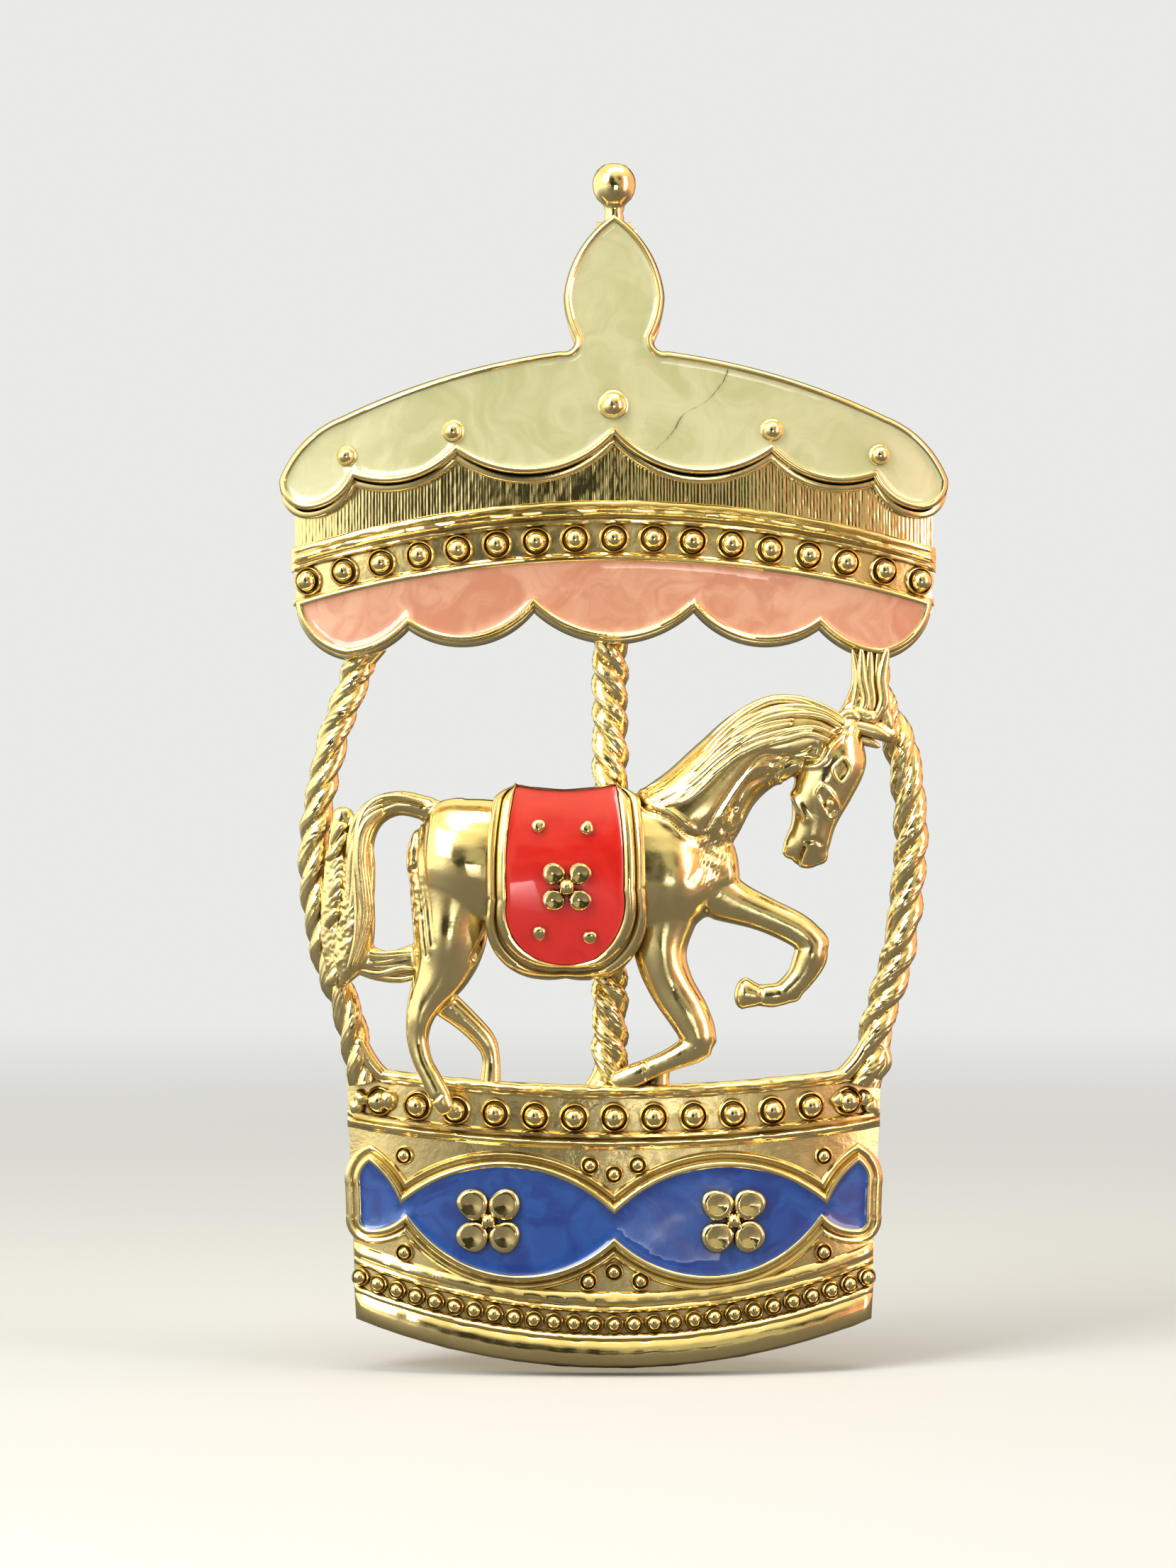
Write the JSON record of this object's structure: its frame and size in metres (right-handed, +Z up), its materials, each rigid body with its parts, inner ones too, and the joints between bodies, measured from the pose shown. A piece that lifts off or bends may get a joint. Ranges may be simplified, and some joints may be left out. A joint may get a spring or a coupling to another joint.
{
  "type": "carousel brooch",
  "caption": "Openwork pin-back brooch of a carousel: enamelled canopy and drum joined by rope poles, with a saddled horse in front.",
  "frame": {"origin": "middle of the straight, free length of the pin stem, on its axis, with the pin lying in its catch", "axes": "+Z up as worn, from the drum to the finial; +Y out of the back, towards the cloth; +X to the right seen from the front"},
  "size_m": [0.0336, 0.0086, 0.06],
  "materials": {
    "gilt_casting": "polished gold plate with darkened recesses",
    "gilt_findings": "bright gold plate",
    "enamel_celadon": "pearlescent pale green enamel",
    "enamel_pink": "pearlescent salmon pink enamel",
    "enamel_blue": "pearlescent deep blue enamel",
    "enamel_red": "glossy dark red enamel"
  },
  "bodies": {
    "root": {"canopy_plate": "gilt_casting", "crown_tray": "gilt_casting", "crown_enamel": "enamel_celadon", "crown_stud_centre": "gilt_casting", "crown_studs_inner": "gilt_casting", "crown_studs_outer": "gilt_casting", "finial_ball": "gilt_casting", "canopy_upper_moulding": "gilt_casting", "canopy_beads": "gilt_casting", "canopy_bead_cups": "gilt_casting", "valance_rim": "gilt_casting", "valance_enamel": "enamel_pink", "pole_left": "gilt_casting", "pole_centre": "gilt_casting", "pole_right": "gilt_casting", "horse": "gilt_casting", "saddle_pad": "gilt_casting", "saddle_rim": "gilt_casting", "saddle_enamel": "enamel_red", "saddle_flower": "gilt_casting", "saddle_studs": "gilt_casting", "drum_plate": "gilt_casting", "drum_top_moulding": "gilt_casting", "drum_beads": "gilt_casting", "drum_bead_cups": "gilt_casting", "drum_middle_moulding": "gilt_casting", "blue_cell_rim": "gilt_casting", "blue_enamel": "enamel_blue", "drum_flower_left": "gilt_casting", "drum_flower_right": "gilt_casting", "field_beads": "gilt_casting", "field_bead_cups": "gilt_casting", "drum_lower_moulding": "gilt_casting", "drum_fine_beads": "gilt_casting", "drum_foot": "gilt_casting", "hinge_block": "gilt_findings", "hinge_rivet": "gilt_findings", "catch_housing": "gilt_findings"},
    "pin": {"pin_stem": "gilt_findings"},
    "rotor": {"catch_rotor": "gilt_findings"}
  },
  "joints": [
    {"name": "pin_hinge", "type": "hinge", "parent": "root", "child": "pin", "pos_m": [0, 0, 0.00865], "axis": [1, 0, 0], "range_deg": [0, 95]},
    {"name": "catch_roll", "type": "hinge", "parent": "root", "child": "rotor", "pos_m": [0, 0, -0.00845], "axis": [0, 0, 1], "range_deg": [0, 100]}
  ]
}
